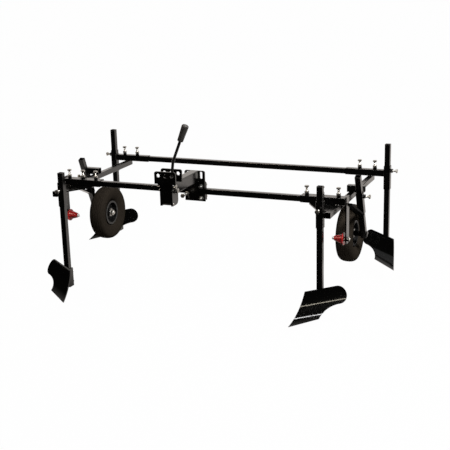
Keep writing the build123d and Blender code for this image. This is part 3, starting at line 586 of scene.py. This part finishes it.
def carriage_set_bolts(side):
    """Bolts on the cross sleeves, which have lock nuts, then those of the two posts and the wheel arm."""
    on_bars = [(x, FRONT_Y) for x in FRONT_BOLTS] + [(x, REAR_Y) for x in REAR_BOLTS]
    half = SLEEVE / 2
    on_front_post = (FRONT_POST_X, FRONT_POST_Y - half, BAR_Z + FRONT_POST_BOLT_UP)
    on_rear_post = (REAR_POST_X + half, REAR_Y, BAR_Z + REAR_POST_BOLT_UP)
    on_wheel_arm = (ARM_X + half, ARM_Y, SIDE_Z)
    bolts = Shape()
    for x, y in on_bars:
        add_lock_nut(bolts, add_set_bolt(bolts, (x, y, BAR_Z + half), (0, 0, 1), BOLT_STAND))
    add_set_bolt(bolts, on_front_post, (0, -1, 0), POST_BOLT_STAND)
    add_set_bolt(bolts, on_rear_post, (1, 0, 0), POST_BOLT_STAND)
    add_set_bolt(bolts, on_wheel_arm, (1, 0, 0), POST_BOLT_STAND)
    made = bolts.piece(f"{side}_set_bolts_threaded", f"{side}_carriage", zinc,
                       mirrored=side == "left")
    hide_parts(f"{side}_clamp_bolts")


def hitch_clamp_bolts():
    """Bolts through both clamp plates, the right ones with nuts in front, and the long stop bolt."""
    bolts = Shape()
    grip = CLAMP_REAR - CLAMP_FRONT
    for x in (-CLAMP_BOLT_X, CLAMP_BOLT_X):
        for up in CLAMP_BOLTS_UP:
            place = axis_frame((x, CLAMP_REAR, BAR_Z + up), (0, -1, 0))
            add_hex(bolts, place, HEAD_AF, -HEAD_H, 0.0)
            if x > 0:
                add_thread(bolts, place, BOLT_R, 0.0, grip + CLAMP_NUT_H + CLAMP_THREAD)
                add_hex(bolts, place, HEAD_AF, grip, grip + CLAMP_NUT_H)
            else:
                add_thread(bolts, place, BOLT_R, 0.0, grip - THREAD_SUNK)
    place = axis_frame((STOP_BOLT_X, CLAMP_FRONT, BAR_Z + STOP_BOLT_UP), (0, -1, 0))
    add_thread(bolts, place, BOLT_R, PLAY - CLAMP_T, STOP_BOLT_STAND)
    add_lock_nut(bolts, place)
    add_hex(bolts, place, HEAD_AF, STOP_BOLT_STAND, STOP_BOLT_STAND + HEAD_H)
    made = bolts.piece("hitch_clamp_bolts_threaded", "frame", zinc)
    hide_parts("hitch_clamp_bolts")


def hitch_cross_bolts():
    """Cross bolts with bright heads at the right, and the cross pin; the washers and nuts at the left are
    painted black as painted shade.
    """
    bolts = Shape()
    nuts = Shape()
    span = 2 * CHANNEL_HALF
    head_at = span + HITCH_WASHER_T
    nut_end = -HITCH_WASHER_T - HITCH_NUT_H
    for back, up in HITCH_BOLTS:
        place = axis_frame((-CHANNEL_HALF, back, BAR_Z + up), (1, 0, 0))
        add_thread(bolts, place, HITCH_BOLT_R, nut_end, span)
        add_washer(bolts, place, HITCH_WASHER_R, span, head_at)
        add_hex(bolts, place, HITCH_HEAD_AF, head_at, head_at + HITCH_HEAD_H)
        # Painted shade: the left washers and nuts go in black paint instead of zinc, so that they look shaded
        add_washer(nuts, place, HITCH_WASHER_R, -HITCH_WASHER_T, 0.0)
        add_hex(nuts, place, HITCH_HEAD_AF, nut_end, -HITCH_WASHER_T)
    place = axis_frame((-CHANNEL_HALF, CROSS_PIN_BACK, BAR_Z + CROSS_PIN_UP), (1, 0, 0))
    add_disc(bolts, place, CROSS_PIN_R, 0.0, span, TURNED_EDGE)
    made = bolts.piece("hitch_cross_bolts_threaded", "frame", zinc)
    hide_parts("hitch_bolts")
    nuts.piece("hitch_cross_bolt_shaded_nuts", "frame", black_paint)


def cone_spindle(side):
    """Screwed spindle with a nut on each side of the cone arm, and the pale cap on its end."""
    place = axis_frame((0, CONE_Y, CONE_Z), (1, 0, 0))
    cap_end = CONE_TIP - CAP_LEN
    cap_shoulder = cap_end + CAP_EDGE
    nut_in = FRONT_SLEEVE_OUT + CONE_ARM_T
    nut_out = nut_in + SPINDLE_NUT_H
    spindle = Shape()
    add_thread(spindle, place, BOLT_R, cap_shoulder, nut_out + SPINDLE_END)
    add_hex(spindle, place, HEAD_AF, nut_in, nut_out)
    add_hex(spindle, place, HEAD_AF, CONE_BASE + PLAY, FRONT_SLEEVE_OUT)
    made = spindle.piece(f"{side}_cone_spindle_threaded", f"{side}_carriage", zinc,
                         mirrored=side == "left")
    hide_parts(f"{side}_cone_spindle")
    cap = Shape()
    add_turned(cap, place, [(CAP_END_R, cap_end), (CAP_SHOULDER_R, cap_shoulder),
                            (CAP_BASE_R, CONE_TIP - PLAY)])
    cap.piece(f"{side}_spindle_cap", f"{side}_carriage", pale_nylon, mirrored=side == "left")


def wheel_axle(side):
    """Bright axle with its washer and nut, and the painted spacer and head beside the arm."""
    place = axis_frame((0, WHEEL_Y, WHEEL_Z), (1, 0, 0))
    shank_in = HUB_IN - SHANK_PAST_HUB
    washer_out = HUB_IN - PLAY
    washer_in = washer_out - WASHER_T
    nut_in = washer_in - AXLE_NUT_H
    axle = Shape()
    add_turned(axle, place, [(AXLE_R, shank_in), (AXLE_R, ARM_OUT)])
    add_washer(axle, place, WASHER_R, washer_in, washer_out)
    add_hex(axle, place, AXLE_NUT_AF, nut_in, washer_in)
    add_thread(axle, place, AXLE_R, nut_in - AXLE_END, shank_in, pitch=AXLE_PITCH, depth=AXLE_GROOVE)
    made = axle.piece(f"{side}_axle_threaded", f"{side}_arm", zinc, mirrored=side == "left")
    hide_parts(f"{side}_wheel_axle")
    painted = Shape()
    spacer_in = HUB_OUT + PLAY
    add_hex(painted, place, AXLE_NUT_AF, ARM_OUT, ARM_OUT + AXLE_NUT_H / 2)
    add_turned(painted, place, [(SPACER_R - TURNED_EDGE, spacer_in), (SPACER_R, spacer_in + TURNED_EDGE),
                                (SPACER_R, ARM_IN)])
    painted.piece(f"{side}_axle_spacer_and_head", f"{side}_arm", black_paint,
                  mirrored=side == "left")


def plough_bolts(corner):
    """Two bolts through the plough's seat, front to back, with their nuts behind."""
    x, y, top = POSTS[corner]
    plough_z = BAR_Z + top - POST_ABOVE
    bolts = Shape()
    for drop in PLOUGH_BOLTS:
        place = axis_frame((x, y + SEAT_BOX / 2, plough_z - drop), (0, -1, 0))
        add_thread(bolts, place, BOLT_R, -PLOUGH_NUT_H - PLOUGH_BOLT_END, SEAT_BOX)
        add_hex(bolts, place, HEAD_AF, -PLOUGH_NUT_H, 0.0)
        add_hex(bolts, place, HEAD_AF, SEAT_BOX, SEAT_BOX + HEAD_H)
    made = bolts.piece(f"{corner}_plough_bolts_threaded", f"{corner}_post_set", zinc)
    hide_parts(f"{corner}_plough_bolts")


# Tyres, rim bolts and valve stems

def tyre_section(tread_steps=96, wall_steps=14):
    """Rounded outer contour from bead to bead as (across, radius), closed by the bead feet."""
    lowest = (TYRE_MID_R - BEAD_R) / TYRE_FALL
    power = 2 / TYRE_ROUNDNESS
    tread = []
    for s in range(tread_steps + 1):
        share = 2 * s / tread_steps - 1
        turn = share * math.pi / 2
        up = abs(math.cos(turn)) ** power
        across = -math.copysign(abs(math.sin(turn)) ** power, turn) * TYRE_HALF
        tread.append(Vector((across, TYRE_MID_R + TYRE_RISE * up)))
    wall = []
    for s in range(1, wall_steps + 1):
        down = lowest * math.sin(math.pi / 2 * s / wall_steps)
        wall.append(Vector((TYRE_HALF * math.sqrt(1 - down * down), TYRE_MID_R - TYRE_FALL * down)))
    bead = wall[-1].x
    feet = [Vector((-bead, BEAD_FOOT_R)), Vector((bead, BEAD_FOOT_R))]
    other_wall = [Vector((-p.x, p.y)) for p in wall]
    return list(reversed(wall)) + tread + other_wall + feet


def tread_cut(across, step):
    """Depth of the ribs and sipes at one place of the tread, fading out at the shoulders."""
    fade = 1 - (abs(across) / TREAD_HALF) ** 4
    groove = (0.5 - 0.5 * math.cos(2 * math.pi * across / RIB_PITCH)) ** 2
    offset = SIPE_STAGGER if across > 0 else 0
    sipe = 1.0 if (step + offset) % SIPE_EVERY == 0 and abs(across) > RIB_PITCH else 0.0
    return (RIB_DEPTH * groove + SIPE_DEPTH * sipe) * fade


def ribbed_tyre(side, count=144):
    """Tyre turned about the axle, with shallow ribs and sipes on its tread."""
    section = tyre_section()
    tyre = Shape()
    rings = []
    for k in range(count):
        a = 2 * math.pi * k / count
        ring = []
        for p in section:
            r = p.y
            if r > TYRE_MID_R and abs(p.x) < TREAD_HALF:
                r -= tread_cut(p.x, k)
            ring.append(Vector((WHEEL_X + p.x, WHEEL_Y + r * math.cos(a), WHEEL_Z + r * math.sin(a))))
        rings.append(ring)
    rings.append(rings[0])
    tyre.rings(rings, closed_ends=False)
    made = tyre.piece(f"{side}_ribbed_tyre", f"{side}_wheel", tyre_rubber, TYRE_SMOOTH,
                      mirrored=side == "left")
    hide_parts(f"{side}_tyre")


def on_wheel(radius, angle, direction):
    """Frame on the wheel's middle plane, at a radius and angle about the axle."""
    origin = (WHEEL_X, WHEEL_Y + radius * math.cos(angle), WHEEL_Z + radius * math.sin(angle))
    return axis_frame(origin, direction)


def rim_bolts_and_valve(side):
    """Bolts that hold the rim's disc, with their nuts, and the valve stem."""
    trim = Shape()
    for k in range(RIM_BOLT_COUNT):
        place = on_wheel(RIM_BOLT_CIRCLE, RIM_BOLT_FROM + 2 * math.pi * k / RIM_BOLT_COUNT, (1, 0, 0))
        add_hex(trim, place, RIM_BOLT_AF, *RIM_HEAD)
        add_hex(trim, place, RIM_BOLT_AF, *RIM_NUT)
        add_thread(trim, place, RIM_BOLT_R, -RIM_BOLT_END, 0.0, pitch=RIM_BOLT_PITCH, depth=RIM_BOLT_GROOVE)
    place = on_wheel(VALVE_CIRCLE, VALVE_TURN, (-1, 0, 0))
    add_turned(trim, place, VALVE_FOOT + VALVE_STEM + VALVE_CAP)
    trim.piece(f"{side}_rim_bolts_and_valve", f"{side}_wheel", rim_paint,
               mirrored=side == "left")


# Weld beads where painted steel meets painted steel

def carriage_welds(side):
    """Beads on the side bar under the cross sleeves, and at both cross sleeves' outer ends."""
    beads = Shape()
    half = SLEEVE / 2
    reach = half - WELD_SHORT
    side_reach = TUBE / 2 - WELD_SHORT
    front_faces = (FRONT_Y - half, BACK_BAR_Y)
    rear_faces = (REAR_Y - half, REAR_Y + half)
    for y in front_faces + rear_faces:
        add_weld(beads, (SIDE_X - side_reach, y, SEAT_Z), (SIDE_X + side_reach, y, SEAT_Z))
    for y in rear_faces:
        add_weld(beads, (REAR_SLEEVE_OUT, y, BAR_Z - reach), (REAR_SLEEVE_OUT, y, BAR_Z + reach))
    add_weld(beads, (REAR_SLEEVE_OUT, REAR_Y - reach, BAR_Z + half),
             (REAR_SLEEVE_OUT, REAR_Y + reach, BAR_Z + half))
    for y in front_faces:
        add_weld(beads, (FRONT_SLEEVE_OUT, y, BAR_Z - reach), (FRONT_SLEEVE_OUT, y, BAR_Z + reach))
    beads.piece(f"{side}_weld_beads", f"{side}_carriage", black_paint, WELD_SMOOTH,
                mirrored=side == "left")


def hitch_welds():
    """Beads of the beam on the front clamp plate: both sides and below."""
    beads = Shape()
    half = BEAM_W / 2
    low = BAR_Z + BEAM_UP - BEAM_H / 2
    high = BAR_Z + BEAM_UP + BEAM_H / 2
    for x in (-half, half):
        add_weld(beads, (x, CLAMP_FRONT, low + WELD_SHORT), (x, CLAMP_FRONT, high - WELD_SHORT), BEAM_WELD_R)
    add_weld(beads, (WELD_SHORT - half, CLAMP_FRONT, low), (half - WELD_SHORT, CLAMP_FRONT, low), BEAM_WELD_R)
    beads.piece("hitch_weld_beads", "frame", black_paint, WELD_SMOOTH)


# Stage, camera and light

def toward_back(tree, value, dark_to_white):
    """Brightness of the studio as shiny faces see it: dark before the machine, white behind it."""
    node = tree.nodes.new("ShaderNodeMapRange")
    node.interpolation_type = "SMOOTHSTEP"
    node.inputs["From Min"].default_value, node.inputs["From Max"].default_value = dark_to_white
    node.inputs["To Min"].default_value = STUDIO_DARK
    tree.links.new(value, node.inputs["Value"])
    return node.outputs["Result"]


def studio_white(tree, rays, socket):
    """White for the camera, and a warmer white for what shiny faces see of the studio."""
    node = colour_mix(tree, rays.outputs["Is Camera Ray"])
    node.inputs["A"].default_value = STUDIO_WARM
    node.inputs["B"].default_value = (1, 1, 1, 1)
    tree.links.new(node.outputs["Result"], socket)


def shiny_rays(tree, rays):
    """1 where a shiny or clear face looks at the studio."""
    return math_node(tree, "MAXIMUM", rays.outputs["Is Glossy Ray"], rays.outputs["Is Transmission Ray"])


def floor_paper():
    """Paper that glows white to the camera and to shiny faces, and keeps a little of the shadow."""
    mat = bpy.data.materials.new("pale_floor_paper")
    mat.use_nodes = True
    tree = mat.node_tree
    paper = tree.nodes["Principled BSDF"]
    paper.inputs["Base Color"].default_value = (FLOOR_GREY, FLOOR_GREY, FLOOR_GREY, 1)
    paper.inputs["Roughness"].default_value = 0.9
    glow = tree.nodes.new("ShaderNodeEmission")
    rays = tree.nodes.new("ShaderNodeLightPath")
    spot = tree.nodes.new("ShaderNodeNewGeometry")
    spread = tree.nodes.new("ShaderNodeSeparateXYZ")
    tree.links.new(spot.outputs["Position"], spread.inputs["Vector"])
    lean = math_node(tree, "MULTIPLY_ADD", spread.outputs["X"], FLOOR_LEAN, spread.outputs["Y"])
    behind = toward_back(tree, lean, FLOOR_DARK_TO_WHITE)
    level = math_node(tree, "MAXIMUM", behind, rays.outputs["Is Camera Ray"])
    tree.links.new(level, glow.inputs["Strength"])
    studio_white(tree, rays, glow.inputs["Color"])
    seen = math_node(tree, "MAXIMUM", rays.outputs["Is Camera Ray"], shiny_rays(tree, rays))
    mixed = tree.nodes.new("ShaderNodeMixShader")
    tree.links.new(math_node(tree, "MULTIPLY", seen, FLOOR_GLOW), mixed.inputs["Fac"])
    tree.links.new(paper.outputs["BSDF"], mixed.inputs[1])
    tree.links.new(glow.outputs["Emission"], mixed.inputs[2])
    tree.links.new(mixed.outputs["Shader"], tree.nodes["Material Output"].inputs["Surface"])
    return mat


def pale_floor(height):
    """Wide floor under the machine."""
    around = ((-FLOOR_HALF, -FLOOR_HALF), (FLOOR_HALF, -FLOOR_HALF), (FLOOR_HALF, FLOOR_HALF),
              (-FLOOR_HALF, FLOOR_HALF))
    mesh = bpy.data.meshes.new("pale_floor")
    mesh.from_pydata([(x, y, height) for x, y in around], [], [(0, 1, 2, 3)])
    floor = bpy.data.objects.new("pale_floor", mesh)
    bpy.context.scene.collection.objects.link(floor)
    mesh.materials.append(floor_paper())


def photo_camera():
    """Camera at the photograph's viewing angle, moved into the part's frame."""
    data = bpy.data.cameras.new("photo_camera")
    data.sensor_width = SENSOR_W
    data.lens = FOCAL_PIXELS / PHOTO_PIXELS * SENSOR_W
    data.clip_end = CAMERA_REACH
    camera = bpy.data.objects.new("photo_camera", data)
    bpy.context.scene.collection.objects.link(camera)
    level = math.cos(CAMERA_PITCH)
    look = Vector((-math.sin(CAMERA_YAW) * level, math.cos(CAMERA_YAW) * level, -math.sin(CAMERA_PITCH)))
    right = Vector((math.cos(CAMERA_YAW), math.sin(CAMERA_YAW), 0))
    down = look.cross(right)
    rolled_right = right * math.cos(CAMERA_ROLL) + down * math.sin(CAMERA_ROLL)
    rolled_down = down * math.cos(CAMERA_ROLL) - right * math.sin(CAMERA_ROLL)
    place = Matrix((rolled_right, -rolled_down, -look)).transposed().to_4x4()
    x, y, z = CAMERA_AT
    place.translation = Vector((x, y + FRONT_Y, z + BAR_Z)) * MM
    camera.matrix_world = place
    bpy.context.scene.camera = camera


def soft_box(name, where, target, size, power):
    """Rectangular lamp aimed at the target, not seen by the camera."""
    lamp = bpy.data.lights.new(name, "AREA")
    lamp.shape = "RECTANGLE"
    lamp.size, lamp.size_y = size
    lamp.energy = power
    obj = bpy.data.objects.new(name, lamp)
    obj.location = where
    obj.rotation_mode = "QUATERNION"
    obj.rotation_quaternion = (Vector(target) - Vector(where)).to_track_quat("-Z", "Y")
    obj.visible_camera = False
    bpy.context.scene.collection.objects.link(obj)
    return obj


def long_lamp(name, where, along, target, size, power):
    """Lamp whose length runs along the given direction."""
    obj = soft_box(name, where, target, size, power)
    z = (Vector(where) - Vector(target)).normalized()
    x = (Vector(along) - z * Vector(along).dot(z)).normalized()
    obj.rotation_quaternion = Matrix((x, z.cross(x), z)).transposed().to_quaternion()
    return obj


def studio_lamps(middle):
    """Key, fill and glint softboxes, and the long lamps that the ploughs reflect."""
    soft_box("key_softbox", where=(1.9, -0.2, 1.9), target=middle, size=(0.8, 0.8), power=145)
    fill = soft_box("fill_softbox", where=(-2.4, -1.6, 2.0), target=middle, size=(1.8, 1.8), power=8)
    fill.visible_glossy = False
    glint = soft_box("cone_softbox", where=(-0.8, -0.9, 1.15), target=(0, 0.323, -0.3), size=(0.45, 0.45),
                     power=22)
    glint.data.color = (1.0, 0.85, 0.7)
    glint.visible_diffuse = False
    # Two tubes run along the front right plough's sheet, where its streaks show them
    sheet_run, sheet_rise = 0.99, 0.125
    sheet_line = (math.cos(PLOUGH_TURN) * sheet_run, math.sin(PLOUGH_TURN) * sheet_run, sheet_rise)
    front_tube = long_lamp("front_tube", where=(1.33, -0.96, 1.26), along=sheet_line,
                           target=(0.60, 0.11, -0.525), size=(1.8, 0.05), power=5)
    front_tube.data.color = (1.0, 0.93, 0.76)
    long_lamp("rear_softbox", where=(-0.135, 1.256, 1.13), along=(0.5, 0.87, 0), target=(0.72, 0.8, -0.52),
              size=(1.4, 0.8), power=1.2)
    long_lamp("top_tube", where=(0.547, 0.176, 1.33), along=sheet_line, target=(0.585, 0.062, -0.563),
              size=(1.5, 0.06), power=8)


def studio_world():
    """White to the camera, graded for shiny faces, and a little soft light for the rest."""
    world = bpy.data.worlds.new("studio_world")
    bpy.context.scene.world = world
    world.use_nodes = True
    tree = world.node_tree
    back = tree.nodes["Background"]
    rays = tree.nodes.new("ShaderNodeLightPath")
    studio_white(tree, rays, back.inputs["Color"])
    sky = tree.nodes.new("ShaderNodeTexCoord")
    spread = tree.nodes.new("ShaderNodeSeparateXYZ")
    tree.links.new(sky.outputs["Generated"], spread.inputs["Vector"])
    behind = toward_back(tree, spread.outputs["Y"], SKY_DARK_TO_WHITE)
    shiny = shiny_rays(tree, rays)
    soft = math_node(tree, "MULTIPLY", math_node(tree, "SUBTRACT", 1.0, shiny), SKY_SOFT)
    level = math_node(tree, "MULTIPLY_ADD", shiny, behind, soft)
    tree.links.new(math_node(tree, "MAXIMUM", level, rays.outputs["Is Camera Ray"]), back.inputs["Strength"])


# The dressed machine

paint_solids()
for side in SIDES:
    carriage_set_bolts(side)
hitch_clamp_bolts()
hitch_cross_bolts()
for side in SIDES:
    cone_spindle(side)
    wheel_axle(side)
for corner in POSTS:
    plough_bolts(corner)
for side in SIDES:
    ribbed_tyre(side)
for side in SIDES:
    rim_bolts_and_valve(side)
for side in SIDES:
    carriage_welds(side)
hitch_welds()

# The stage around it

low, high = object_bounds()
pale_floor(low.z)
photo_camera()
studio_lamps((low + high) / 2)
studio_world()
bpy.context.scene.view_settings.view_transform = "Standard"
